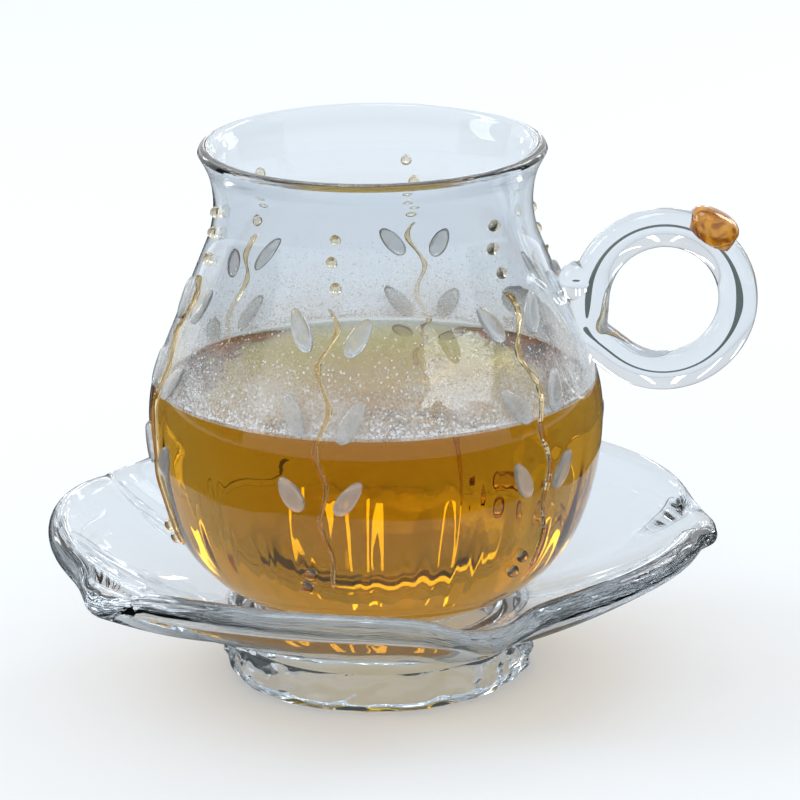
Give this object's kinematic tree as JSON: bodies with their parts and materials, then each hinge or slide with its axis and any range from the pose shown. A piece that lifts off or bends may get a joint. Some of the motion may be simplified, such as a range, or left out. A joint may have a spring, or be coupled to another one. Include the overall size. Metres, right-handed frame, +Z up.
{
  "type": "glass tea cup and saucer",
  "caption": "Blown glass tea cup with a ring handle and flame-worked vine relief, holding tea, on a five-petalled footed glass saucer.",
  "frame": {"origin": "on the cup's axis, at the plane that the saucer's foot rests on", "axes": "+Z up along the cup's axis, +X towards the ring handle, -Y is the front"},
  "size_m": [0.1382, 0.1284, 0.1054],
  "materials": {
    "clear_glass": "clear flame-worked borosilicate glass, fire polished",
    "amber_glass": "amber coloured glass drop, melted on and fire polished",
    "tea": "clear golden brown tea"
  },
  "bodies": {
    "root": {"cup": "clear_glass", "tea": "tea", "thumb_drop": "amber_glass", "saucer": "clear_glass", "vine_1_stem": "clear_glass", "vine_1_leaves": "clear_glass", "vine_1_beads": "clear_glass", "vine_2_stem": "clear_glass", "vine_2_leaves": "clear_glass", "vine_2_beads": "clear_glass", "vine_3_stem": "clear_glass", "vine_3_leaves": "clear_glass", "vine_3_beads": "clear_glass", "vine_4_stem": "clear_glass", "vine_4_leaves": "clear_glass", "vine_4_beads": "clear_glass", "vine_5_stem": "clear_glass", "vine_5_leaves": "clear_glass", "vine_5_beads": "clear_glass", "vine_6_stem": "clear_glass", "vine_6_leaves": "clear_glass", "vine_6_beads": "clear_glass"}
  },
  "joints": []
}
